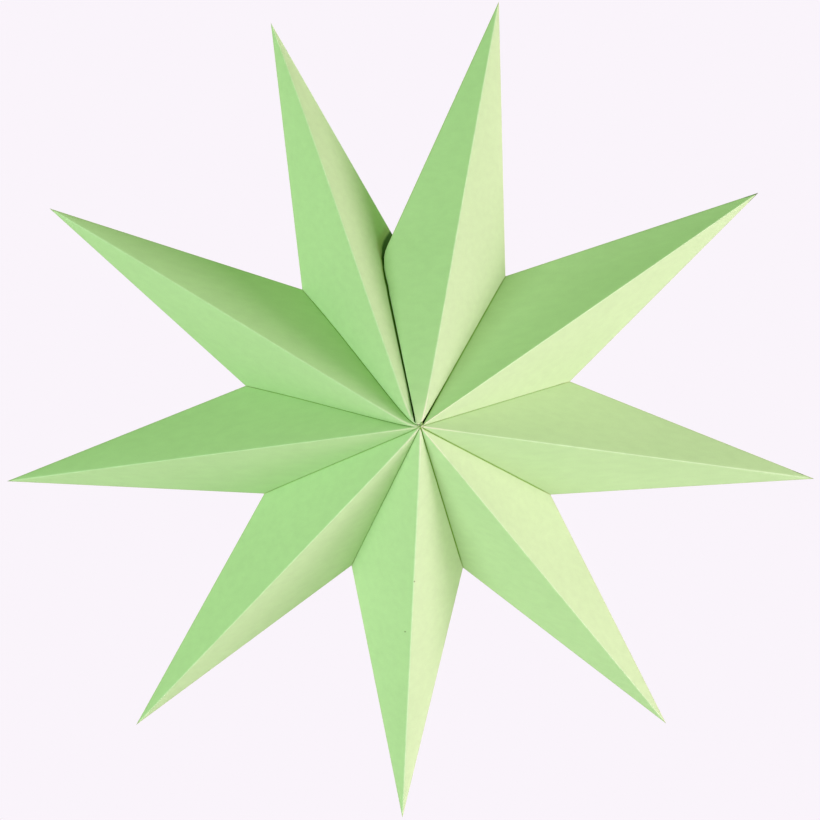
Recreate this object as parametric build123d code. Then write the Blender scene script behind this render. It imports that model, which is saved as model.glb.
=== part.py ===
"""Nine-pointed folding star lantern, fanned open and closed on itself, 300 mm across.

Each point is one sheet of coloured card, folded into a four-sided spike. Neighbouring points are
glued flap to flap along their valleys. Fanned open, the points take up a little more than a full
turn, so the first one laps over the last, and two strips of double-sided tape close that seam.

Millimetres and degrees. The star's axis is Y, with the front peak towards -Y, and the star hangs
in the XZ plane with its seam up. A bearing runs from +X towards +Z.
"""

from build123d import *
import math
import os

# Star
tip_radius = 150.0  # axis to a tip
notch_radius = 60.0  # axis to a notch between neighbouring points
peak_depth = 40.0  # mid plane to the front peak and to the back peak

# Each point's half openings, left and right of its ridge, clockwise from the seam
openings = [
    (23.2, 23.0),
    (23.0, 21.6),
    (20.3, 21.0),
    (19.9, 20.4),
    (19.7, 19.8),
    (20.5, 19.8),
    (19.7, 18.9),
    (20.3, 19.0),
    (21.4, 17.6),
]
# How much further out than tip_radius or notch_radius each tip and notch lies, as folded by hand
tip_errors = [1.8, -0.7, 0.6, -0.3, -0.4, 1.2, -2.2, 0.0, -0.1]
notch_errors = [0.1, -0.8, -0.1, 0.5, -0.1, 0.5, 0.5, -0.4]

# Lapped seam
seam_bearing = 101.7  # the first point's corner, which lies on top
top_corner_radius = 58.5  # axis to that corner
under_corner_radius = 57.0  # axis to the last point's corner, which is tucked under
corner_round = 20.0  # the top corner is rounded off
corner_clip = 1.1  # and set back by this much
settled = 1e-9  # both corners are moved until they shift by no more than this

# Card and its folds
card = 0.3
flap_width = 9.0  # glue flap inside each valley
lap_width = 7.0  # lap that closes a point along its back ridge
lap_hub_clearance = 12.0  # the lap starts this far from the back peak
lap_tip_clearance = 15.0  # and ends this far from the tip
hub_hole_radius = 1.2  # the folded corners stop short of the axis by this much
open_joint_gap = 1.0  # the joint right of the first point gapes by this much at the hub
relief_slit = 0.6  # cut in the flaps at the mid plane, so that front and back can spread
relief_stop = 1.5  # the slit ends this far inside the notch

# Double-sided tape in the seam
tape = 0.5  # thickness
front_tape_width = 5.0
front_tape_length = 26.0
front_tape_place = 0.69  # middle of the strip, as a share of the way from peak to corner
back_tape_width = 6.0
back_tape_length = 40.0
back_tape_place = 0.5

star_axis = Vector(0, 1, 0)
along_axis = (90, 0, 0)  # turns a cylinder to lie along it
through = 4 * peak_depth  # long enough to cut through the whole star
front_peak = Vector(0, -peak_depth, 0)
back_peak = Vector(0, peak_depth, 0)


def at(radius, bearing):
    """A point of the mid plane."""
    angle = math.radians(bearing)
    return Vector(radius * math.cos(angle), 0, radius * math.sin(angle))


def facing_away(a, b, c, inside):
    """The plane through three points, with its normal pointing away from a point inside."""
    normal = (b - a).cross(c - a).normalized()
    if normal.dot(inside - a) > 0:
        normal = -normal
    return Plane(origin=a, z_dir=normal)


def moved_onto(plane, point):
    """The point, moved along the star's axis until it lies on the plane."""
    normal = plane.z_dir
    return point + star_axis * (normal.dot(plane.origin - point) / normal.Y)


def solid_within(planes):
    """The solid on the inner side of every plane."""
    room = 4 * tip_radius
    block = Box(room, room, room)
    for plane in planes:
        block = split(block, bisect_by=plane, keep=Keep.BOTTOM)
    return block


class Spike:
    """The shape that one sheet is folded into."""

    def __init__(self, tip, left, right, left_hub_gap, right_hub_gap):
        self.tip, self.left, self.right = tip, left, right
        self.inside = (tip + front_peak + back_peak) * 0.25
        self.left_side = self.radial_side(left, left_hub_gap)
        self.right_side = self.radial_side(right, right_hub_gap)
        self.front_left = facing_away(front_peak, tip, left, self.inside)
        self.front_right = facing_away(front_peak, tip, right, self.inside)
        self.back_left = facing_away(back_peak, tip, left, self.inside)
        self.back_right = facing_away(back_peak, tip, right, self.inside)
        self.walls = [self.front_left, self.front_right, self.back_left, self.back_right]

        # Each wall's flap lies in one of these planes
        self.flap_planes = [self.left_side, self.right_side, self.left_side, self.right_side]
        self.left_is_folded = True

    def radial_side(self, corner, hub_gap):
        """The plane from the corner to the axis, which it misses by half the gap at the hub."""
        across = (corner - front_peak).cross(star_axis).normalized()
        if across.dot(self.tip) < 0:
            across = -across
        hub = across * (hub_gap / 2)
        return facing_away(corner, hub, hub + star_axis, self.tip)

    def grown(self, growth, left_growth=None):
        """The closed spike, with every face moved out by this much."""
        if left_growth is None:
            left_growth = growth
        return solid_within(
            [wall.offset(growth) for wall in self.walls]
            + [self.left_side.offset(left_growth), self.right_side.offset(growth)]
        )


def lap_over(top, under):
    """Let the first spike's left side rest on the last one, instead of meeting it in a valley."""
    top.flap_planes[0] = under.front_right.offset(tape)
    top.flap_planes[2] = under.right_side.offset(tape)
    top.left_is_folded = False


def seam_corners(top_tip, under_tip, top_corner, under_corner):
    """Both corners, moved along the axis until each rests on the other spike's wall."""
    moved = tape
    while moved > settled:
        placed = under_corner
        under_wall = facing_away(front_peak, under_tip, under_corner, under_tip * 0.5)
        top_corner = moved_onto(under_wall.offset(tape), top_corner)
        top_wall = facing_away(back_peak, top_tip, top_corner, top_tip * 0.5)
        under_corner = moved_onto(top_wall, under_corner)
        moved = (under_corner - placed).length
    return top_corner, under_corner


def folded_sheet(spike, under=None):
    """One point: a sheet of card folded on four ridges, with a glue flap inside each valley."""
    outer = spike.grown(0)
    hollow = spike.grown(-card, -card if spike.left_is_folded else 0)
    if under:
        outer -= under.grown(tape)
        hollow -= under.grown(tape + card)
    window = solid_within(
        [
            wall.offset(-flap_width * wall.z_dir.cross(flap.z_dir).length)
            for wall, flap in zip(spike.walls, spike.flap_planes)
        ]
        + [spike.left_side.offset(card), spike.right_side.offset(card)]
    )
    slit = Cylinder(notch_radius - relief_stop, relief_slit, rotation=along_axis)
    hub_hole = Cylinder(hub_hole_radius, through, rotation=along_axis)
    return outer - hollow - window - slit - hub_hole + back_lap(spike, hollow)


def back_lap(spike, hollow):
    """The lap glued to the inner face of the left back panel, along the back ridge."""
    ridge = (spike.tip - back_peak).normalized()
    inward = spike.back_left.z_dir.cross(ridge)
    if inward.dot(spike.left - back_peak) < 0:
        inward = -inward
    layer = split(hollow, bisect_by=spike.back_left.offset(-2 * card), keep=Keep.TOP)
    for origin, normal in (
        (back_peak + inward * lap_width, inward),
        (back_peak + ridge * lap_hub_clearance, -ridge),
        (spike.tip - ridge * lap_tip_clearance, ridge),
    ):
        layer = split(layer, bisect_by=Plane(origin=origin, z_dir=normal), keep=Keep.BOTTOM)
    return layer


def rounded_corner(spike):
    """What is trimmed off the corner that lies on top."""
    to_tip = Vector(spike.tip.X - spike.left.X, 0, spike.tip.Z - spike.left.Z).normalized()
    to_hub = Vector(-spike.left.X, 0, -spike.left.Z).normalized()
    middle = spike.left + (to_tip + to_hub).normalized() * (corner_clip + corner_round)
    around = Cylinder(corner_round / 2, through, rotation=along_axis)
    kept = Cylinder(corner_round, through, rotation=along_axis)
    return Pos(spike.left) * around - Pos(middle) * kept


def tape_strip(face, peak, corner, towards, width, length, place):
    """A strip of tape on a face, beside the fold from the peak to the corner."""
    corner -= face.z_dir * face.z_dir.dot(corner - face.origin)
    along = (corner - peak).normalized()
    inward = face.z_dir.cross(along)
    if inward.dot(towards - corner) < 0:
        inward = -inward
    middle = peak + (corner - peak) * place + inward * (flap_width / 2) + face.z_dir * (tape / 2)
    return Plane(origin=middle, x_dir=along, z_dir=face.z_dir) * Box(length, width, tape)


# Walk clockwise from the seam
tips, notches = [], []
bearing = seam_bearing
for i, (left, right) in enumerate(openings):
    tips.append(at(tip_radius + tip_errors[i], bearing - left))
    bearing -= left + right
    if i < len(notch_errors):
        notches.append(at(notch_radius + notch_errors[i], bearing))
top_corner, under_corner = seam_corners(
    tips[0], tips[-1], at(top_corner_radius, seam_bearing), at(under_corner_radius, bearing)
)
lefts = [top_corner] + notches
rights = notches + [under_corner]

# The joint between the first two points has come open at the hub
hub_gaps = [0.0, open_joint_gap] + [0.0] * (len(openings) - 1)
spikes = [Spike(*places) for places in zip(tips, lefts, rights, hub_gaps, hub_gaps[1:])]
lap_over(spikes[0], spikes[-1])

os.makedirs("parts", exist_ok=True)
export_step(folded_sheet(spikes[0], under=spikes[-1]) - rounded_corner(spikes[0]), "parts/point_1.step")
for i, spike in enumerate(spikes[1:], start=2):
    export_step(folded_sheet(spike), f"parts/point_{i}.step")

last = spikes[-1]
front_strip = tape_strip(
    last.front_right,
    front_peak,
    top_corner,
    under_corner,
    front_tape_width,
    front_tape_length,
    front_tape_place,
)
back_strip = tape_strip(
    last.right_side,
    back_peak,
    under_corner,
    front_peak,
    back_tape_width,
    back_tape_length,
    back_tape_place,
)
export_step(front_strip, "parts/seam_tape_front.step")
export_step(back_strip, "parts/seam_tape_back.step")
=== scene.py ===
"""Paper star lantern: nine folded points of mint green card, closed with a taped seam.

Metres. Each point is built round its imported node, and reads its tip and its corners from it.
A bearing runs from +X towards +Z, and the front of the star looks along -Y.
"""

import math

import bmesh
import bpy
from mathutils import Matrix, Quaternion, Vector, noise


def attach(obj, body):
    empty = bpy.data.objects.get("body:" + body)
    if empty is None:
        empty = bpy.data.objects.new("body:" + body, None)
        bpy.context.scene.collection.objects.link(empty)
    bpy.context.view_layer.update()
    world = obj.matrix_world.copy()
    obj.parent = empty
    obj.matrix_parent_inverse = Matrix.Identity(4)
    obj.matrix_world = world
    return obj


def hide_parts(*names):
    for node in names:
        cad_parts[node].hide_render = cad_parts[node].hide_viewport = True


bl_info = {
    "name": "Paper star lantern",
    "version": (1, 0, 0),
    "blender": (4, 5, 0),
    "location": "View3D > Sidebar > Lantern",
    "description": "Dresses the packed parts of a folding paper star in card and tape",
    "category": "Object",
}

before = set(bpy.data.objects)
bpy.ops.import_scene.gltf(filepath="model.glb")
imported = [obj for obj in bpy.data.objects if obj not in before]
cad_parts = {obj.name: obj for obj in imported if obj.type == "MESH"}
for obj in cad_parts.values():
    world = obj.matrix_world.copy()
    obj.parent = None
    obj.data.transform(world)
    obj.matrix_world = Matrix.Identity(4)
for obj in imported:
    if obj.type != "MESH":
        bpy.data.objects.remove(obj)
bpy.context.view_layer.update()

MM = 0.001
MERGE_DISTANCE = 0.004 * MM
AXIS = Vector((0, 1, 0))
POINTS = sorted(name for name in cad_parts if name.startswith("point_"))
FIRST, LAST = POINTS[0], POINTS[-1]
SEAM_TAPES = ["seam_tape_front", "seam_tape_back"]

# How wide each joint gapes at the hub, clockwise from the seam
JOINT_GAPES = [gape * MM for gape in (0, 0.85, 0.05, 0.1, 0.16, 0.07, 0.03, 0.02, 0.03)]
# How far each joint, and each point's ridge, bends to the left beside the front hub
JOINT_BENDS = [bend * MM for bend in (0, -0.2, 0, -0.1, -0.1, 0.1, 0.3, 1.05, 1.7)]
RIDGE_BENDS = [bend * MM for bend in (-0.65, 0, 0, 0, 0.35, 0.4, 0.25, 1.65, 2.2)]
# How soon such a bend sets in from the hub, and the share of its line by which it is gone
BEND_ONSET = 2.5 * MM
BEND_END = 0.9
# How strongly shade is painted on the card beside each front joint, along its valley
JOINT_VALLEY_SHADES = [0.0, 0.75, 0.3, 0.75, 1.0, 0.3, 0.4, 0.45, 0.6]
# How far each point's front panels swell: below 0 they are hollow
FRONT_BOWS = {
    "left": [bow * MM for bow in (0, -0.5, 0, -0.4, 0.8, 0.2, -0.35, 0.6, 1)],
    "right": [bow * MM for bow in (0.5, -0.2, -0.2, -0.2, 0.8, 0.45, 0.3, 0.6, 0.9)],
}
# Painted shade of small gaps on the outline: the point, its side, share of the way to its tip, and
# radius
EDGE_MARKS = [
    ("point_2", "left", 0.97, 3.3 * MM),
    ("point_3", "left", 0.936, 2.8 * MM),
    ("point_9", "right", 0.27, 1.2 * MM),
]
# Specks: the point, share of the way along its ridge, how far left of that, and radius
SPECKS = [
    ("point_5", 0.39, 0.5 * MM, 0.35 * MM),
    ("point_5", 0.52, -1.9 * MM, 0.35 * MM),
]


def length(name, description, default):
    """A property that holds a length."""
    return bpy.props.FloatProperty(
        name=name, description=description, default=default, unit="LENGTH", precision=5
    )


def colour(name, description, default):
    """A property that holds a colour."""
    return bpy.props.FloatVectorProperty(
        name=name, description=description, default=default, subtype="COLOR", min=0, max=1
    )


class LanternSizes(bpy.types.PropertyGroup):
    """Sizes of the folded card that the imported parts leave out."""

    peak_depth: length("Peak depth", "Mid plane to either peak", 40 * MM)
    card: length("Card", "Thickness of the card", 0.3 * MM)
    hub_hole: length("Hub hole", "The folded corners stop short of the axis by this much", 0.2 * MM)
    thin_tip: length("Thin tip", "The card grows thin over this last stretch", 5 * MM)
    free_corner: length("Free corner", "How far the first point stops short of the axis", 1.1 * MM)
    ridge_softness: length("Ridge softness", "How soft the folds along the ridges are", 0.3 * MM)
    side_softness: length("Side softness", "How soft the folds along the outline are", 0.3 * MM)
    valley_softness: length("Valley softness", "How soft the folds of the flaps are", 0.08 * MM)
    seam_softness: length("Seam softness", "How soft the fold on top of the seam is", 1.8 * MM)
    flap_width: length("Flap width", "Width of the glue flap inside each valley", 9 * MM)
    lap_width: length("Lap width", "Width of the lap under each back ridge", 7 * MM)
    bow: length("Bow", "How far the back panels swell between their folds", 0.4 * MM)
    unevenness: length("Unevenness", "How far the panels are from smooth", 0.12 * MM)
    seam_radius: length("Seam radius", "Axis to the corner that lies on top at the seam", 58.5 * MM)
    seam_bearing: bpy.props.FloatProperty(
        name="Seam bearing", description="Bearing of that corner, in degrees", default=101.7
    )
    seam_round: length("Seam rounding", "Radius of that corner", 20 * MM)
    seam_clip: length("Seam clip", "How far that corner is set back", 0.8 * MM)
    seam_tape: length("Seam tape", "Thickness of the tape under that corner", 0.5 * MM)
    seam_lift: length("Seam lift", "How far the lap's edge springs off its tape", 0.15 * MM)
    seam_shift: length("Seam shift", "How far the seam passes left of the front hub", 1.2 * MM)
    seam_shadow: length("Seam shadow", "How far the dark of the seam shows beside it", 0.9 * MM)


class LanternColours(bpy.types.PropertyGroup):
    """Colours of the card, the tape and the studio."""

    card: colour("Card", "Mint green card", (0.535, 0.72, 0.39))
    # Pressed fibres along each ridge, and partly a painted highlight where the fold catches light
    crease: colour("Crease", "Card pressed along a fold", (0.68, 0.86, 0.55))
    worn: colour("Worn", "Fibres laid bare beside the hub", (0.84, 0.8, 0.62))
    # Painted shade along the outline, where the card turns away over its soft fold
    edge: colour("Edge", "Card rubbed along the outline", (0.45, 0.53, 0.23))
    # Painted shade: a deep green band on the card beside each valley, where shade falls between the
    # points
    valley_shade: colour("Stain", "Card stained along a valley by its glue", (0.2, 0.44, 0.01))
    # Painted shade deep in the joints: on the flaps that show in their gapes, and beside the seam's
    # lap
    joint_shade: colour("Groove", "Card deep in a joint, stained by its glue", (0.06, 0.16, 0.01))
    depth: colour("Depth", "The same beside the hub, where little light gets in", (0.01, 0.04, 0.0))
    # Dark fibres for the specks, and painted shade for the small gaps on the outline
    fleck_and_gap_shade: colour("Fleck", "Dark fibres in the card", (0.14, 0.2, 0.07))
    tape: colour("Tape", "Double-sided tape", (0.86, 0.86, 0.82))
    studio: colour("Studio", "What lies behind the lantern", (0.956, 0.905, 0.965))
    floor: colour("Floor", "Floor under the lantern", (0.8, 0.78, 0.81))


def on_bearing(radius, bearing):
    """A place in the mid plane."""
    angle = math.radians(bearing)
    return Vector((radius * math.cos(angle), 0, radius * math.sin(angle)))


def rising(value, start, end):
    """0 up to the start, 1 from the end on, and eased between them."""
    share = min(max((value - start) / (end - start), 0), 1)
    return share * share * (3 - 2 * share)


def between(one, other, share):
    """The number at this share of the way from one to the other."""
    return one + (other - one) * share


class Wall:
    """A flat wall through three places, facing away from a place inside."""

    def __init__(self, a, b, c, inside):
        self.origin = a
        self.normal = (b - a).cross(c - a).normalized()
        if self.normal.dot(inside - a) > 0:
            self.normal.negate()

    def moved_onto(self, place, off=0.0):
        """The place, moved along the star's axis until it is this far off the wall."""
        origin = self.origin + self.normal * off
        return place + AXIS * (self.normal.dot(origin - place) / self.normal.y)


def fold_pull(one, other):
    """Which way a soft fold between two walls pulls in, times its steepness."""
    inward = -(one + other).normalized()
    return inward * math.sqrt(max(0, 1 - one.dot(inward) ** 2))


def bent(share, reach):
    """How much of its bend a line of this reach shows here: most near the hub, none at its ends."""
    return (1 - rising(share, 0, BEND_END)) * (1 - math.exp(-share * reach / BEND_ONSET))


def softened(pull, softness, distance):
    """How a soft fold moves the card at this distance from the fold's line."""
    return pull * (math.hypot(distance, softness) - distance)


class Spike:
    """The shape of one folded point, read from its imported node."""

    def __init__(self, node, sizes):
        places = [v.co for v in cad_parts[node].data.vertices]
        self.node = node
        self.tip = max(places, key=lambda place: place.xz.length).copy()
        self.outward = Vector((self.tip.x, 0, self.tip.z)).normalized()
        self.leftward = Vector((-self.outward.z, 0, self.outward.x))
        self.left = max(places, key=lambda place: place.dot(self.leftward)).copy()
        self.right = min(places, key=lambda place: place.dot(self.leftward)).copy()
        self.peaks = {"front": -AXIS * sizes.peak_depth, "back": AXIS * sizes.peak_depth}
        self.inside = self.tip / 2

    def wall(self, face, side):
        """The front or back wall on one side of the ridge."""
        corner = self.left if side == "left" else self.right
        return Wall(self.peaks[face], self.tip, corner, self.inside)

    def side_normal(self, side):
        """Which way the glued flaps on one side face."""
        corner = self.left if side == "left" else self.right
        across = corner.cross(AXIS).normalized()
        return -across if across.dot(self.tip) > 0 else across


def along(path, share):
    """The place at this share of a path's length."""
    runs = [(b - a).length for a, b in zip(path, path[1:])]
    left = share * sum(runs)
    for a, b, run in zip(path, path[1:], runs):
        if left <= run:
            return a.lerp(b, left / run)
        left -= run
    return path[-1].copy()


class Panel:
    """One wall of a point: where its rows start and end, and how its folds are softened."""

    # Rows run from the ridge to the valley or the outline
    inner_rows = 26  # from the hub to the corner
    outer_rows = 36  # from the corner to the tip
    lap_rows = slice(4, -6)  # the lap stops short of the hub and of the tip
    corner_share = 0.36  # the row through the corner meets the ridge this far along it
    hub_crowding = 1.5  # rows lie closer together towards the hub
    narrowest_row = 0.02 * MM

    # Columns follow the folds
    fold_columns = [0, 0.08 * MM, 0.2 * MM, 0.4 * MM, 0.8 * MM, 1.6 * MM]  # beside either fold
    middle_columns = 8  # between those
    crowded_row = 4  # times the last distance above: narrower rows crowd their columns
    flap_columns = [0, 0.02, 0.05, 0.1, 0.2, 0.4, 0.7, 1]  # shares of the flap's width
    lap_columns = [0, 0.03, 0.08, 0.16, 0.3, 0.6, 1]  # shares of the lap's width

    # The valley's fold turns into the outline's over these shares of the valley, or of the
    # outline where the first point laps over the last
    corner_turn = (0.9, 1.0)
    lap_turn = (0.02, 0.1)

    gape_fade = 6  # power by which a joint's gape closes towards its corner
    least_steepness = 0.3  # of a row across its joint, for its share of the gape
    least_slope = 0.05  # of a flap, for the room that it has
    lap_depth = 1.1  # how far the lap sinks under the other back panel, as cards
    lap_step = 1.2 * MM  # and over what distance
    lap_hub_softness = 0.4  # share of its softness that the fold on the seam has at the hub
    lap_soft_share = 0.6  # it has all of it from this share of the valley on
    softest = (0.7, 0.25)  # most that a valley, and an outline, may be softened, as row widths
    wave_scale = 45  # of the unevenness, per metre
    wave_height = 2  # of the noise, to give the unevenness that is asked for
    swell_power = 0.6  # the swell is widest nearer the hub than the tip

    def __init__(self, spike, face, side, sizes, seam=None, shaded_by=None):
        self.spike, self.face, self.side, self.sizes = spike, face, side, sizes
        self.number = POINTS.index(spike.node)
        self.peak = spike.peaks[face]
        self.corner = spike.left if side == "left" else spike.right
        self.path = [self.peak, self.corner]
        self.wall = spike.wall(face, side)
        other_side = "right" if side == "left" else "left"
        other_face = "back" if face == "front" else "front"
        self.ridge_pull = fold_pull(self.wall.normal, spike.wall(face, other_side).normal)
        self.side_pull = fold_pull(self.wall.normal, spike.wall(other_face, side).normal)
        self.flap_normal = spike.side_normal(side)
        joint = (self.number + (side == "right")) % len(POINTS)
        self.gape = JOINT_GAPES[joint]
        self.ridge_bend, self.joint_bend, self.valley_shade, self.bow = 0, 0, 0, sizes.bow
        if face == "front":
            self.ridge_bend = RIDGE_BENDS[self.number]
            self.joint_bend = JOINT_BENDS[joint]
            self.valley_shade = JOINT_VALLEY_SHADES[joint]
            self.bow = FRONT_BOWS[side][self.number]
        self.seam = seam
        self.laps = seam is not None and face == "front"
        self.shaded_by = shaded_by
        if seam:
            self.path = seam.path(face)
        if shaded_by:
            self.path = [shaded_by.hub, self.corner]
        if self.laps:
            self.flap_normal = -seam.under.normal
        self.valley_pull = fold_pull(self.wall.normal, self.flap_normal)
        self.rows = self.inner() + self.outer()

    def inner(self):
        """Rows from the hub to the corner: share of the ridge, share of the valley, and 0."""
        reach = (self.corner - self.peak).length
        is_free = self.spike.node == FIRST and self.face == "front"
        start = (self.sizes.free_corner if is_free else self.sizes.hub_hole) / reach
        count = self.inner_rows
        shares = [start + (1 - start) * (i / count) ** self.hub_crowding for i in range(count + 1)]
        return [(share * self.corner_share, share, 0) for share in shares]

    def outer(self):
        """Rows from the corner to the tip: share of the ridge, 1, and share of the outline."""
        shares = [i / self.outer_rows for i in range(1, self.outer_rows + 1)]
        rest = 1 - self.corner_share
        return [(self.corner_share + rest * share, 1, share) for share in shares]

    def ridge_place(self, row):
        """Where a row meets the ridge."""
        bend = self.ridge_bend * bent(row[0], self.spike.tip.length)
        return self.peak.lerp(self.spike.tip, row[0]) + self.spike.leftward * bend

    def fold_place(self, row):
        """Where a row meets the valley or the outline."""
        _, valley, outline = row
        if outline:
            place = self.corner.lerp(self.spike.tip, outline)
        else:
            place = along(self.path, valley)
            leftward = Vector((-self.corner.z, 0, self.corner.x)).normalized()
            place += leftward * (self.joint_bend * bent(valley, self.corner.length))
            inward = (self.ridge_place(row) - place).normalized()
            steep = abs(inward.dot(self.flap_normal))
            gape = self.gape / 2 * (1 - valley) ** self.gape_fade
            place += inward * (gape / max(steep, self.least_steepness))
        outward = self.spike.leftward if self.side == "left" else -self.spike.leftward
        width = (place - self.ridge_place(row)).dot(outward)
        place += outward * max(0, self.narrowest_row - width)
        if self.seam:
            place = self.seam.rounded(place, self)
        if self.laps and not outline:
            place = self.seam.resting(place, self, valley)
        return place

    def outlined(self, row):
        """0 along the valley and 1 along the outline, eased beside the corner."""
        _, valley, outline = row
        if self.laps:
            return rising(outline, *self.lap_turn)
        return 1 if outline else rising(valley, *self.corner_turn)

    def edge_place(self, row, softness):
        """That place, moved out where a soft fold would make the outline smaller."""
        share = 1 if self.laps else self.outlined(row)
        return self.fold_place(row) - self.edge_pull(row) * (softness * share)

    def edge_pull(self, row):
        """How a row's fold is softened: as a valley, or past the corner as an outline."""
        return self.valley_pull.lerp(self.side_pull, self.outlined(row))

    def softness(self, row, width):
        """Softness of the ridge and of the fold at a row's end, less where the row is narrow."""
        sizes, outlined = self.sizes, self.outlined(row)
        fold = sizes.valley_softness
        if self.laps:
            grown = rising(row[1], 0, self.lap_soft_share)
            fold = sizes.seam_softness * between(self.lap_hub_softness, 1, grown)
        edge = between(fold, sizes.side_softness, outlined)
        most = width * between(*self.softest, outlined)
        return min(sizes.ridge_softness, most), min(edge, most)

    def columns(self, width):
        """Distances from the ridge, closer together beside both folds."""
        last = self.fold_columns[-1]
        squeeze = min(1, width / (self.crowded_row * last))
        near = [distance * squeeze for distance in self.fold_columns]
        gap = (width - 2 * near[-1]) / self.middle_columns
        middle = [near[-1] + gap * i for i in range(1, self.middle_columns)]
        return near + middle + [width - distance for distance in reversed(near)]

    def swell(self, row, share, place):
        """How far the panel stands off its flat wall."""
        wave = noise.noise(place * self.wave_scale + Vector((0, 0, self.number)))
        across = 4 * share * (1 - share)
        lengthways = math.sin(math.pi * row[0] ** self.swell_power)
        uneven = self.sizes.unevenness * self.wave_height * wave
        return (self.bow + uneven) * across * lengthways

    def surface(self):
        """Every vertex: its place, distances from the ridge and the fold, outlined, and how
        strongly its valley's shade is painted.
        """
        made = []
        for row in self.rows:
            ridge, fold = self.ridge_place(row), self.fold_place(row)
            ridge_softness, edge_softness = self.softness(row, (fold - ridge).length)
            fold = self.edge_place(row, edge_softness)
            width = (fold - ridge).length
            line = []
            for distance in self.columns(width):
                share = distance / width if width else 0
                place = ridge.lerp(fold, share)
                place += self.wall.normal * self.swell(row, share, place)
                place += softened(self.ridge_pull, ridge_softness, distance)
                place += softened(self.edge_pull(row), edge_softness, width - distance)
                from_fold = width - distance
                if self.shaded_by:
                    from_fold = self.shaded_by.beside(place)
                line.append((place, distance, from_fold, self.outlined(row), self.valley_shade))
            made.append(line)
        return made

    def flap(self):
        """The glue flap beside the valley, in rows that start on the fold."""
        inner = [row for row in self.rows if not row[2]]
        widths = [(self.fold_place(row) - self.ridge_place(row)).length for row in inner]
        softnesses = [self.softness(row, width)[1] for row, width in zip(inner, widths)]
        folds = [self.edge_place(row, softness) for row, softness in zip(inner, softnesses)]
        inward = -AXIS if self.face == "back" else AXIS
        made = []
        for i, (row, fold) in enumerate(zip(inner, folds)):
            before, after = folds[max(i - 1, 0)], folds[min(i + 1, len(folds) - 1)]
            across = self.flap_normal.cross(after - before).normalized()
            if across.dot(inward) < 0:
                across.negate()
            outward = Vector((fold.x, 0, fold.z)).normalized()
            slope = max(-across.dot(outward), self.least_slope)
            room_to_axis = (fold.xz.length - self.sizes.hub_hole) / slope
            slope = max(abs(across.y), self.least_slope)
            room_to_middle = (abs(fold.y) - self.sizes.card) / slope
            reach = max(min(self.sizes.flap_width, room_to_axis, room_to_middle), 0)
            line = []
            for share in self.flap_columns:
                distance = reach * share
                place = fold + across * distance
                place += softened(self.edge_pull(row), softnesses[i], distance)
                line.append((place, widths[i], -distance, 0, 0))
            made.append(line)
        return made

    def lap(self, under):
        """The lap that runs on past the back ridge, just under the other back panel."""
        sink = self.sizes.card * self.lap_depth
        made = []
        for row in self.rows[self.lap_rows]:
            ridge, fold = self.ridge_place(row), under.fold_place(row)
            width = (fold - ridge).length
            reach = min(self.sizes.lap_width, width / 2)
            softness = self.softness(row, (self.fold_place(row) - ridge).length)[0]
            line = []
            for share in self.lap_columns:
                distance = reach * share
                place = ridge.lerp(fold, distance / width)
                place -= under.wall.normal * (sink * rising(distance, 0, self.lap_step))
                place += softened(self.ridge_pull, softness, distance)
                line.append((place, -distance, width, 0, 0))
            made.append(line)
        return made


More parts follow.
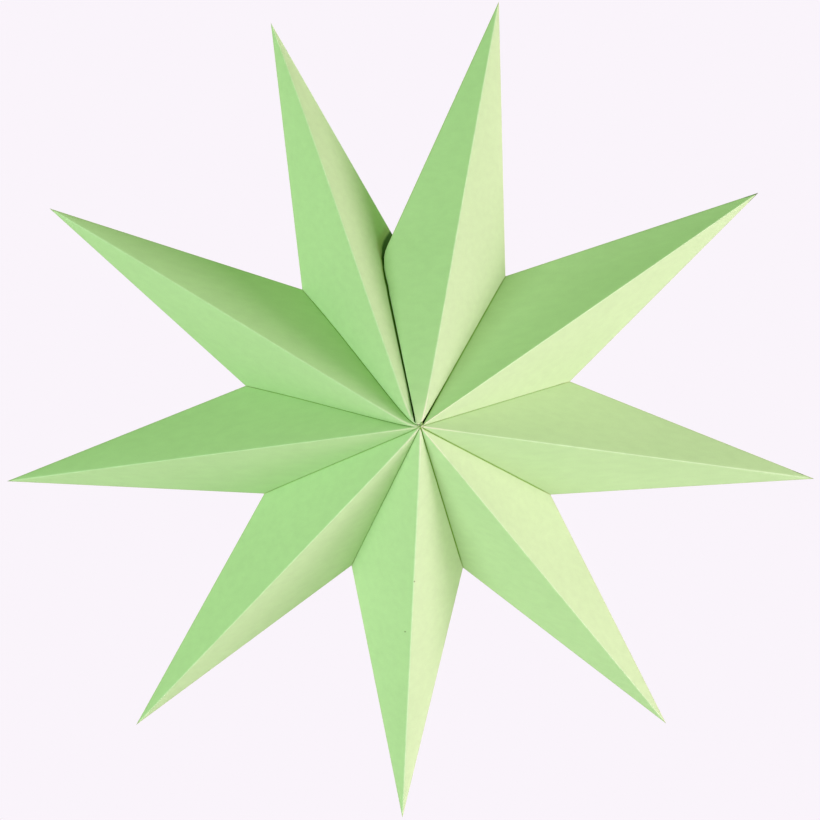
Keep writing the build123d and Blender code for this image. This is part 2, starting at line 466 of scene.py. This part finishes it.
class Seam:
    """How the first point laps over the last one."""

    lift_fade = (0.78, 0.9)  # the lap's edge comes down on its tape over these shares of the seam

    # The dark beside the lap, as a share of seam_shadow: at the hub, and how it changes from
    # there. Places are shares of the seam, and past 1 those of the outline.
    hub_dark = 0.83
    dark_changes = [
        (-0.35, 0.0, 0.25),
        (0.52, 0.0, 0.6),
        (-0.3, 0.92, 0.955),
        (0.3, 0.955, 0.99),
        (0.9, 1.0, 1.04),
        (-2.66, 1.07, 1.1),
    ]
    round_corner = (1.0, 1.04)  # over these shares the dark softens
    corner_softness = 5  # to as many times what it is elsewhere

    def __init__(self, first, last, sizes):
        self.sizes = sizes
        self.under = last.wall("front", "right")
        self.tuck = last.right
        corner = on_bearing(sizes.seam_radius, sizes.seam_bearing)
        first.left = self.under.moved_onto(corner, sizes.seam_tape)
        self.corner = first.left
        to_tip = Vector((first.tip.x - corner.x, 0, first.tip.z - corner.z)).normalized()
        inward = (to_tip - corner.normalized()).normalized()
        self.middle = corner + inward * (sizes.seam_clip + sizes.seam_round)
        self.back_peak = first.peaks["back"]
        self.hub = first.peaks["front"] + Vector((-sizes.seam_shift, 0, 0))
        lap = Panel(first, "front", "left", sizes, seam=self)
        self.edge = [(lap.fold_place(row), *self.shadow(row)) for row in lap.rows]

    def path(self, face):
        """The line that the first point's left panels follow from the hub to their corner."""
        if face == "front":
            return [self.hub, self.corner]
        return [self.back_peak, self.tuck, self.corner]

    def shadow(self, row):
        """How far the dark shows beside the lap at a row, and how many times softer it is there."""
        _, valley, outline = row
        share = valley + outline
        dark = self.hub_dark
        for change, start, end in self.dark_changes:
            dark += change * rising(share, start, end)
        softer = between(1, self.corner_softness, rising(share, *self.round_corner))
        return self.sizes.seam_shadow * dark, softer

    def beside(self, place):
        """How far outside the dark line a place of the last point lies, seen from the front."""
        nearest, outside = math.inf, 0
        for (a, dark_a, soft_a), (b, dark_b, soft_b) in zip(self.edge, self.edge[1:]):
            run = (b - a).xz
            share = min(max((place - a).xz.dot(run) / run.length_squared, 0), 1)
            away = (place - a).xz - run * share
            if away.length < nearest:
                nearest = away.length
                from_lap = math.copysign(nearest, run.cross(away))
                dark, softer = between(dark_a, dark_b, share), between(soft_a, soft_b, share)
                outside = (from_lap - dark) / softer
        return outside

    def rounded(self, place, panel):
        """The place, moved in where the corner is rounded off."""
        flat = Vector((place.x, 0, place.z))
        from_middle = flat - self.middle
        radius = self.sizes.seam_round
        near_corner = (flat - Vector((self.corner.x, 0, self.corner.z))).length < radius / 2
        if near_corner and from_middle.length > radius:
            place = panel.wall.moved_onto(self.middle + from_middle.normalized() * radius)
        return panel.wall.moved_onto(place) if panel.laps else place

    def resting(self, place, panel, valley):
        """The place, laid on the tape over the last point, or nearer on its own flat wall."""
        lift = self.sizes.seam_lift * (1 - rising(valley, *self.lift_fade))
        shift = Vector((self.sizes.seam_shift * (1 - valley), 0, 0))
        laid = self.under.moved_onto(place + shift, self.sizes.seam_tape + lift) - shift
        flat = panel.wall.moved_onto(place)
        return laid if laid.y < flat.y else flat


def add_grid(mesh, maps, rows, outward):
    """A grid with its vertices put where the rows say, facing outward."""
    tall, wide = len(rows) - 1, len(rows[0]) - 1
    made = bmesh.ops.create_grid(mesh, x_segments=wide, y_segments=tall, size=1)["verts"]
    values = {}
    for vert in made:
        i = round((vert.co.y + 1) / 2 * tall)
        j = round((vert.co.x + 1) / 2 * wide)
        vert.co, from_ridge, from_fold, outlined, valley_shade = rows[i][j]
        values[vert] = ((from_ridge, from_fold), (outlined, valley_shade))
    faces = list({face for vert in made for face in vert.link_faces})
    for face in faces:
        for loop in face.loops:
            for layer, value in zip(maps, values[loop.vert]):
                loop[layer].uv = value
    mesh.normal_update()
    if sum(face.normal.dot(outward) * face.calc_area() for face in faces) < 0:
        bmesh.ops.reverse_faces(mesh, faces=faces)
    return faces


def folded_point(spike, sizes, seam):
    """One point of the star: four panels of one sheet, with their flaps and lap."""
    mesh = bmesh.new()
    for name in ("folds", "outline_share_and_valley_shade"):
        mesh.loops.layers.uv.new(name)
    maps = mesh.loops.layers.uv.values()
    for face in ("front", "back"):
        is_under = spike.node == LAST and face == "front"
        panels = {
            "left": Panel(spike, face, "left", sizes, seam=seam if spike.node == FIRST else None),
            "right": Panel(spike, face, "right", sizes, shaded_by=seam if is_under else None),
        }
        for side, panel in panels.items():
            add_grid(mesh, maps, panel.surface(), panel.wall.normal)
            add_grid(mesh, maps, panel.flap(), panel.flap_normal)
        if face == "back":
            lap = panels["right"].lap(panels["left"])
            add_grid(mesh, maps, lap, panels["left"].wall.normal)
    bmesh.ops.remove_doubles(mesh, verts=mesh.verts, dist=MERGE_DISTANCE)
    piece = finished(mesh, f"card_{spike.node}", sizes.card)
    thin_out(piece, spike.tip, sizes.thin_tip)
    return piece


def thin_out(piece, tip, reach):
    """Lets the card grow thin towards its tip, where there is no room inside for its thickness."""
    group = piece.vertex_groups.new(name="thickness")
    for vertex in piece.data.vertices:
        weight = min(1, (vertex.co - tip).length / reach)
        group.add([vertex.index], weight, "REPLACE")
    piece.modifiers["Card"].vertex_group = group.name


def finished(mesh, name, thickness):
    """A mesh object from a bmesh, given the thickness of its card."""
    data = bpy.data.meshes.new(name)
    mesh.to_mesh(data)
    mesh.free()
    data.shade_smooth()
    piece = bpy.data.objects.new(name, data)
    bpy.context.scene.collection.objects.link(piece)
    walls = piece.modifiers.new("Card", "SOLIDIFY")
    walls.thickness = thickness
    walls.offset = -1
    return piece


class Value:
    """A socket in a material, on which arithmetic adds Math nodes."""

    def __init__(self, finish, socket):
        self.finish, self.socket = finish, socket

    def __add__(self, other):
        return self.finish.math("ADD", self, other)

    def __sub__(self, other):
        return self.finish.math("SUBTRACT", self, other)

    def __rsub__(self, other):
        return self.finish.math("SUBTRACT", other, self)

    def __mul__(self, other):
        return self.finish.math("MULTIPLY", self, other)

    __radd__ = __add__
    __rmul__ = __mul__


class Finish:
    """A node tree that is being built."""

    def __init__(self, tree):
        self.tree = tree
        tree.nodes.clear()

    def node(self, kind, settings=None, sockets=None, output=0):
        """Adds a node: first its settings, then the values or links of its sockets."""
        made = self.tree.nodes.new(kind)
        for name, value in (settings or {}).items():
            setattr(made, name, value)
        for key, value in (sockets or {}).items():
            if isinstance(value, Value):
                self.tree.links.new(value.socket, made.inputs[key])
            else:
                made.inputs[key].default_value = value
        return Value(self, made.outputs[output]) if len(made.outputs) else made

    def math(self, operation, *values):
        """A Math node."""
        return self.node("ShaderNodeMath", {"operation": operation}, dict(enumerate(values)))

    def fading(self, value, start, end):
        """1 up to the start, 0 from the end on, and eased between them."""
        sockets = {"Value": value, "From Min": start, "From Max": end, "To Min": 1.0, "To Max": 0.0}
        return self.node("ShaderNodeMapRange", {"interpolation_type": "SMOOTHSTEP"}, sockets)

    def mix(self, factor, one, other):
        """A mix of two colours."""
        sockets = {0: factor, 6: one, 7: other}
        return self.node("ShaderNodeMix", {"data_type": "RGBA"}, sockets, output=2)

    def toned(self, value, tone):
        """A colour, made lighter or darker."""
        sockets = {"Vector": value, "Scale": tone}
        return self.node("ShaderNodeVectorMath", {"operation": "SCALE"}, sockets)

    def stretched(self, scale, offset=(0, 0, 0)):
        """The object's coordinates, scaled along each axis."""
        place = self.node("ShaderNodeTexCoord", output="Object")
        sockets = {"Vector": place, "Scale": scale, "Location": offset}
        return self.node("ShaderNodeMapping", None, sockets)

    def from_axis(self, offset=(0, 0, 0)):
        """Distance from the star's axis, or from that axis moved to another place."""
        flat = self.stretched((1, 0, 1), offset)
        return self.node("ShaderNodeVectorMath", {"operation": "LENGTH"}, {0: flat}, output="Value")

    def mapped(self, name):
        """Both values that a UV map holds."""
        place = self.node("ShaderNodeUVMap", {"uv_map": name})
        sockets = {"Vector": place}
        return [self.node("ShaderNodeSeparateXYZ", None, sockets, output=axis) for axis in "XY"]

    def marks(self, places):
        """1 at each of these places, seen along the star's axis, and 0 beyond its radius."""
        total = 0.0
        for place, radius in places:
            away = self.from_axis((-place.x, 0, -place.z))
            total = total + self.fading(away, radius * 0.6, radius)
        return total

    def noise(self, place, scale, detail=2.0):
        """Noise, from 0 to 1."""
        sockets = {"Vector": place, "Scale": scale, "Detail": detail}
        return self.node("ShaderNodeTexNoise", None, sockets)

    def grain(self, strength, distance, height):
        """Normals that follow a fine grain."""
        sockets = {"Strength": strength, "Distance": distance, "Height": height}
        return self.node("ShaderNodeBump", None, sockets)


def rgba(value):
    """A colour with its alpha."""
    return (*value, 1.0)


def new_material(name):
    """An empty material and its node tree."""
    material = bpy.data.materials.new(name)
    material.use_nodes = True
    return material, Finish(material.node_tree)


def card_marks(spikes):
    """The place and radius of every dark mark: first the painted shade of gaps on the outline, then
    the specks.
    """
    edges, specks = [], []
    for node, side, share, radius in EDGE_MARKS:
        spike = spikes[node]
        corner = spike.left if side == "left" else spike.right
        edges.append((corner.lerp(spike.tip, share), radius))
    for node, share, leftward, radius in SPECKS:
        spike = spikes[node]
        place = spike.peaks["front"].lerp(spike.tip, share)
        specks.append((place + spike.leftward * leftward, radius))
    return edges, specks


def card_material(colours, edge_marks, specks):
    """Uncoated card: mottling, fine fibres, pale pressed ridges partly painted as highlights,
    painted shade along the outline, beside and in the joints and at gaps on the outline, and
    specks.
    """
    material, finish = new_material("mint_card")
    plain = finish.stretched((1, 1, 1))
    streaks = finish.stretched((0.35, 1, 1))
    dye = finish.noise(plain, 22.0)
    mottle = finish.noise(streaks, 420.0, 3.0)
    fibre = finish.noise(plain, 2600.0, 3.0)
    wander = (finish.noise(plain, 260.0) - 0.5) * (0.5 * MM)

    # Masks: each is 1 on its line or spot
    from_ridge, from_fold = finish.mapped("folds")
    # The second map holds the outline's share and how strongly the shade beside the valley is
    # painted
    outlined, valley_shade = finish.mapped("outline_share_and_valley_shade")
    from_axis = finish.from_axis()
    ridge = finish.fading(finish.math("ABSOLUTE", from_ridge + wander), 0.12 * MM, 0.6 * MM)
    fold = finish.fading(finish.math("ABSOLUTE", from_fold), 0.1 * MM, 0.7 * MM)
    # Where the shade along the outline is painted
    outline = outlined * fold
    # Where the shade beside a valley is painted
    beside_joint = (1 - outlined) * finish.fading(from_fold, 0.1 * MM, 0.7 * MM)
    # Where the shade in a joint is painted: on the flaps, and beside the seam's lap
    in_joint = finish.fading(from_fold, -0.2 * MM, 0.05 * MM)
    near_hub = finish.fading(from_axis, 1.0 * MM, 22.0 * MM)
    at_hub = finish.fading(from_axis, 0.4 * MM, 1.4 * MM)
    # Near the hub the pale ridge line, partly a painted highlight, takes the worn colour
    bare = finish.math("MAXIMUM", ridge * near_hub, at_hub) * 0.8
    # Painted shade at the gaps on the outline, and specks of dark fibre
    dark = outline * finish.marks(edge_marks) + finish.marks(specks) * 0.7

    # Colours, from the bare card up
    card = finish.toned(colours.card, 0.88 + dye * 0.06 + mottle * 0.12 + fibre * 0.08)
    # The pale ridge line: pressed fibres, and partly a painted highlight of the fold
    pressed_and_highlit = finish.mix(ridge * (0.25 + mottle * 0.5), card, rgba(colours.crease))
    # Painted shade along the outline's fold
    outline_shaded = finish.mix(outline * 0.8, pressed_and_highlit, rgba(colours.edge))
    worn = finish.mix(bare, outline_shaded, rgba(colours.worn))
    # Specks of dark fibre, and painted shade at the gaps on the outline
    flecked_and_gap_shaded = finish.mix(dark, worn, rgba(colours.fleck_and_gap_shade))
    # Painted shade: the card beside each valley darkened to a deep green
    valley_shaded = finish.mix(beside_joint * valley_shade, flecked_and_gap_shaded, rgba(colours.valley_shade))
    # Painted shade in the joints, darkest towards the hub
    joint_shade = finish.mix(near_hub, rgba(colours.joint_shade), rgba(colours.depth))
    sockets = {
        "Base Color": finish.mix(in_joint * (1 - at_hub), valley_shaded, joint_shade),
        "Roughness": 0.8 + fibre * 0.14 - fold * 0.06,
        "Specular IOR Level": 0.1,
        "Normal": finish.grain(0.3, 0.12 * MM, fibre + mottle * 0.6),
    }
    surface = finish.node("ShaderNodeBsdfPrincipled", None, sockets)
    finish.node("ShaderNodeOutputMaterial", None, {"Surface": surface})
    return material


def tape_material(colours):
    """White double-sided tape, slightly shiny and crossed by faint fibres."""
    material, finish = new_material("double_sided_tape")
    plain = finish.stretched((1, 1, 1))
    fibre = finish.noise(plain, 1500.0, 3.0)
    cloud = finish.noise(plain, 90.0)
    sockets = {
        "Base Color": finish.toned(colours.tape, 0.9 + cloud * 0.08 + fibre * 0.06),
        "Roughness": 0.42 + fibre * 0.12,
        "Normal": finish.grain(0.2, 0.05 * MM, fibre),
    }
    surface = finish.node("ShaderNodeBsdfPrincipled", None, sockets)
    finish.node("ShaderNodeOutputMaterial", None, {"Surface": surface})
    return material


def floor_material(colours):
    """A pale studio floor."""
    material, finish = new_material("studio_floor")
    cloud = finish.noise(finish.stretched((1, 1, 1)), 6.0)
    sockets = {"Base Color": finish.toned(colours.floor, 0.98 + cloud * 0.04), "Roughness": 0.8}
    surface = finish.node("ShaderNodeBsdfPrincipled", None, sockets)
    finish.node("ShaderNodeOutputMaterial", None, {"Surface": surface})
    return material


class LANTERN_OT_fold_points(bpy.types.Operator):
    """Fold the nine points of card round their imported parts"""

    bl_idname = "lantern.fold_points"
    bl_label = "Fold the points"

    def execute(self, context):
        sizes = context.scene.lantern_sizes
        spikes = {node: Spike(node, sizes) for node in POINTS}
        seam = Seam(spikes[FIRST], spikes[LAST], sizes)
        material = card_material(context.scene.lantern_colours, *card_marks(spikes))
        for node, spike in spikes.items():
            piece = folded_point(spike, sizes, seam)
            piece.data.materials.append(material)
            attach(piece, "root")
            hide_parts(node)
        return {"FINISHED"}


class LANTERN_OT_tape_seam(bpy.types.Operator):
    """Give the tape in the seam its finish"""

    bl_idname = "lantern.tape_seam"
    bl_label = "Tape the seam"

    def execute(self, context):
        material = tape_material(context.scene.lantern_colours)
        for node in SEAM_TAPES:
            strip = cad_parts[node]
            strip.data.materials.clear()
            strip.data.materials.append(material)
        return {"FINISHED"}


class LANTERN_OT_set_stage(bpy.types.Operator):
    """Set up the studio: world, floor, lamps and camera"""

    bl_idname = "lantern.set_stage"
    bl_label = "Set the stage"

    camera_azimuth = -5.27  # degrees, as the stage's other angles
    camera_elevation = 7.38
    camera_roll = 0.678
    camera_distance = 2.0
    camera_aim = Vector((-0.03 * MM, 0.06 * MM, 0.74 * MM))
    camera_lens = 242.2  # millimetres, on a 36 mm sensor
    floor_drop = 0.45
    floor_radius = 0.8
    fill_tint = (0.56, 1, 0.25)
    fill_strength = 0.4
    # Name, place, size, watts and tint: a rosy key from far right, and cooler fills
    lamps = [
        ("key", (2.0, -0.6, 0.3), 0.9, 27.0, (1, 0.69, 1)),
        ("graze", (1.5, -0.15, 0.0), 0.8, 5.9, (1, 0.69, 1)),
        ("low", (1.1, -1.2, -0.8), 0.9, 4.9, (1, 0.69, 1)),
        ("near", (0.5, -0.3, -0.25), 0.3, 0.9, (1, 0.69, 1)),
        ("fill", (-1.2, -1.2, 0.0), 0.9, 15.5, (0.84, 0.96, 1)),
        ("back_right", (0.9, 1.5, 0.5), 0.9, 16.0, (1, 0.95, 0.95)),
        ("back_left", (-1.1, 1.2, -0.1), 0.9, 7.0, (1, 0.95, 0.95)),
    ]

    def execute(self, context):
        scene = context.scene
        scene.view_settings.view_transform = "Standard"
        colours = scene.lantern_colours
        self.add_world(scene, colours)
        self.add_floor(scene, colours)
        self.add_lamps(scene)
        self.add_camera(scene)
        return {"FINISHED"}

    def add_world(self, scene, colours):
        """Pale to the camera and in reflections, and a soft fill for the rest."""
        world = bpy.data.worlds.new("studio")
        world.use_nodes = True
        scene.world = world
        finish = Finish(world.node_tree)
        seen = 0.0
        for ray in ("Is Camera Ray", "Is Glossy Ray", "Is Transmission Ray"):
            seen = finish.math("MAXIMUM", seen, finish.node("ShaderNodeLightPath", output=ray))
        shown = finish.node("ShaderNodeBackground", None, {"Color": rgba(colours.studio)})
        sockets = {"Color": rgba(self.fill_tint), "Strength": self.fill_strength}
        fill = finish.node("ShaderNodeBackground", None, sockets)
        both = finish.node("ShaderNodeMixShader", None, {0: seen, 1: fill, 2: shown})
        finish.node("ShaderNodeOutputWorld", None, {"Surface": both})

    def add_floor(self, scene, colours):
        """A round floor, far enough below that the photograph's view misses it."""
        mesh = bmesh.new()
        bmesh.ops.create_circle(mesh, cap_ends=True, segments=96, radius=self.floor_radius)
        bmesh.ops.translate(mesh, verts=mesh.verts, vec=(0, 0, -self.floor_drop))
        data = bpy.data.meshes.new("studio_floor")
        mesh.to_mesh(data)
        mesh.free()
        floor = bpy.data.objects.new("studio_floor", data)
        scene.collection.objects.link(floor)
        data.materials.append(floor_material(colours))

    def add_lamps(self, scene):
        """Soft lamps, each facing the lantern."""
        for name, place, size, watts, tint in self.lamps:
            lamp = bpy.data.lights.new(name, "AREA")
            lamp.shape = "DISK"
            lamp.size = size
            lamp.energy = watts
            lamp.color = tint
            piece = bpy.data.objects.new(name, lamp)
            piece.location = place
            piece.rotation_euler = (-Vector(place)).to_track_quat("-Z", "Y").to_euler()
            scene.collection.objects.link(piece)

    def add_camera(self, scene):
        """The photograph's view: slightly from the left and from above."""
        azimuth = math.radians(self.camera_azimuth)
        elevation = math.radians(self.camera_elevation)
        back = Vector((
            math.sin(azimuth) * math.cos(elevation),
            -math.cos(azimuth) * math.cos(elevation),
            math.sin(elevation),
        ))
        data = bpy.data.cameras.new("photograph")
        data.sensor_width = 36
        data.lens = self.camera_lens
        camera = bpy.data.objects.new("photograph", data)
        camera.location = self.camera_aim + back * self.camera_distance
        roll = Quaternion((0, 0, 1), math.radians(self.camera_roll))
        camera.rotation_mode = "QUATERNION"
        camera.rotation_quaternion = (-back).to_track_quat("-Z", "Y") @ roll
        scene.collection.objects.link(camera)
        scene.camera = camera


class LANTERN_PT_panel(bpy.types.Panel):
    """Lists the steps and the values that they read"""

    bl_idname = "LANTERN_PT_panel"
    bl_label = "Paper star lantern"
    bl_space_type = "VIEW_3D"
    bl_region_type = "UI"
    bl_category = "Lantern"

    def draw(self, context):
        layout = self.layout
        for operator in OPERATORS:
            layout.operator(operator.bl_idname)
        for group in (context.scene.lantern_sizes, context.scene.lantern_colours):
            box = layout.box()
            for name in group.__annotations__:
                box.prop(group, name)


OPERATORS = (LANTERN_OT_set_stage, LANTERN_OT_fold_points, LANTERN_OT_tape_seam)
GROUPS = (LanternSizes, LanternColours)


def register():
    for cls in (*GROUPS, *OPERATORS, LANTERN_PT_panel):
        bpy.utils.register_class(cls)
    bpy.types.Scene.lantern_sizes = bpy.props.PointerProperty(type=LanternSizes)
    bpy.types.Scene.lantern_colours = bpy.props.PointerProperty(type=LanternColours)


def unregister():
    del bpy.types.Scene.lantern_colours
    del bpy.types.Scene.lantern_sizes
    for cls in (LANTERN_PT_panel, *reversed(OPERATORS), *reversed(GROUPS)):
        bpy.utils.unregister_class(cls)


def main():
    register()
    bpy.ops.lantern.set_stage()
    bpy.ops.lantern.fold_points()
    bpy.ops.lantern.tape_seam()


if __name__ == "__main__":
    main()
